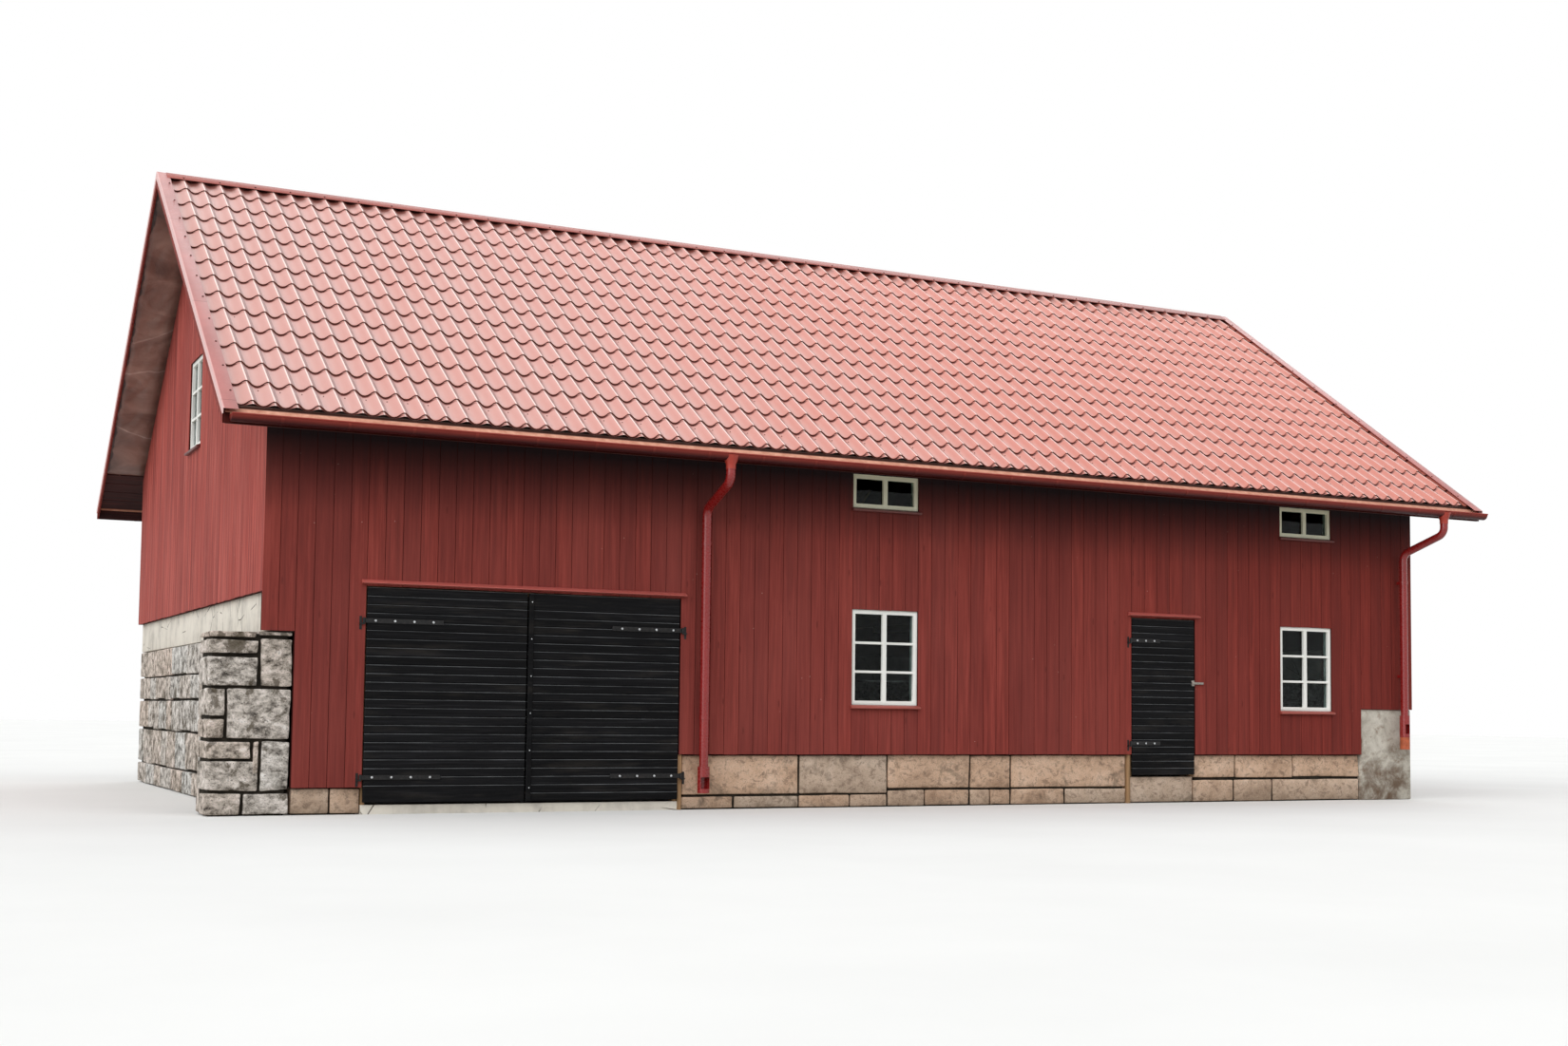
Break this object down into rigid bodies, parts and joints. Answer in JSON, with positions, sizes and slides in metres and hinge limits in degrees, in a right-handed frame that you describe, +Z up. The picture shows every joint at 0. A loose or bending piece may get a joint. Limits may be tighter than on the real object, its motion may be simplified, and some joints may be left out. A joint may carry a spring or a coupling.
{
  "type": "timber barn",
  "caption": "Long timber barn with red boarding on a stone foundation, pitched tile-profile metal roof, gutters, downpipes and strap-hinged board doors.",
  "frame": {"origin": "centre of the whole building's box at the lowest ground it stands on", "axes": "+X along the front wall to the right, +Y from the front wall to the back, +Z up"},
  "size_m": [14.22, 9.14, 6.4973],
  "materials": {
    "granite": "rough split granite, weathered",
    "concrete": "cast and rendered, matt",
    "floor_wood": "sawn, untreated",
    "red_boards": "matt red earth paint on sawn boards",
    "roof_metal": "semi-gloss coated steel sheet",
    "membrane": "thin brown roofing membrane",
    "red_trim": "matt dark red paint",
    "drip_metal": "pale coated steel edge",
    "gutter_metal": "gloss dark red coated steel",
    "clay_plastic": "matt clay coloured plastic",
    "black_iron": "black painted forged iron",
    "black_boards": "tarred black boards, satin",
    "zinc": "dull galvanised steel",
    "white_paint": "satin white paint",
    "window_glass": "clear, dark room behind",
    "sill_metal": "semi-gloss coated steel sheet"
  },
  "bodies": {
    "building": {"plinth_front": "granite", "foundation_left": "granite", "foundation_right": "granite", "foundation_back": "granite", "corner_block": "concrete", "concrete_band": "concrete", "door_step": "granite", "ground_floor": "concrete", "loft_floor": "floor_wood", "floor_beams": "floor_wood", "front_wall_left": "red_boards", "front_wall_over_doors": "red_boards", "front_wall_middle": "red_boards", "front_wall_right": "red_boards", "left_gable_wall": "red_boards", "right_gable_wall": "red_boards", "back_wall": "red_boards", "rafters": "floor_wood", "roof_membrane": "membrane", "roof_front": "roof_metal", "roof_back": "roof_metal", "ridge_cap": "roof_metal", "eave_boards": "red_trim", "fascia_boards": "red_trim", "barge_boards": "red_trim", "verge_flashings": "roof_metal", "drip_edges": "drip_metal", "gutters": "gutter_metal", "gutter_hooks": "gutter_metal", "gutter_outlets": "gutter_metal", "downpipes": "gutter_metal", "pipe_clamps": "gutter_metal", "pipe_shoes": "gutter_metal", "drain_collar": "clay_plastic", "door_frames": "floor_wood", "drip_flashings": "roof_metal", "hinge_pintles": "black_iron", "window_frames": "white_paint", "window_glass": "window_glass", "window_sills": "sill_metal"},
    "left_leaf": {"big_door_left": "black_boards", "straps_left_leaf": "black_iron"},
    "right_leaf": {"big_door_right": "black_boards", "straps_right_leaf": "black_iron"},
    "small_leaf": {"small_door": "black_boards", "straps_small_door": "black_iron", "door_latch": "zinc"}
  },
  "joints": [
    {"name": "big_door_left_hinge", "type": "hinge", "parent": "building", "child": "left_leaf", "pos_m": [-5.769, -3.903, 0.3], "axis": [0, 0, -1], "range_deg": [0, 165]},
    {"name": "big_door_right_hinge", "type": "hinge", "parent": "building", "child": "right_leaf", "pos_m": [-2.741, -3.903, 0.3], "axis": [0, 0, 1], "range_deg": [0, 110]},
    {"name": "small_door_hinge", "type": "hinge", "parent": "building", "child": "small_leaf", "pos_m": [2.491, -3.903, 0.618], "axis": [0, 0, -1], "range_deg": [0, 165]}
  ]
}
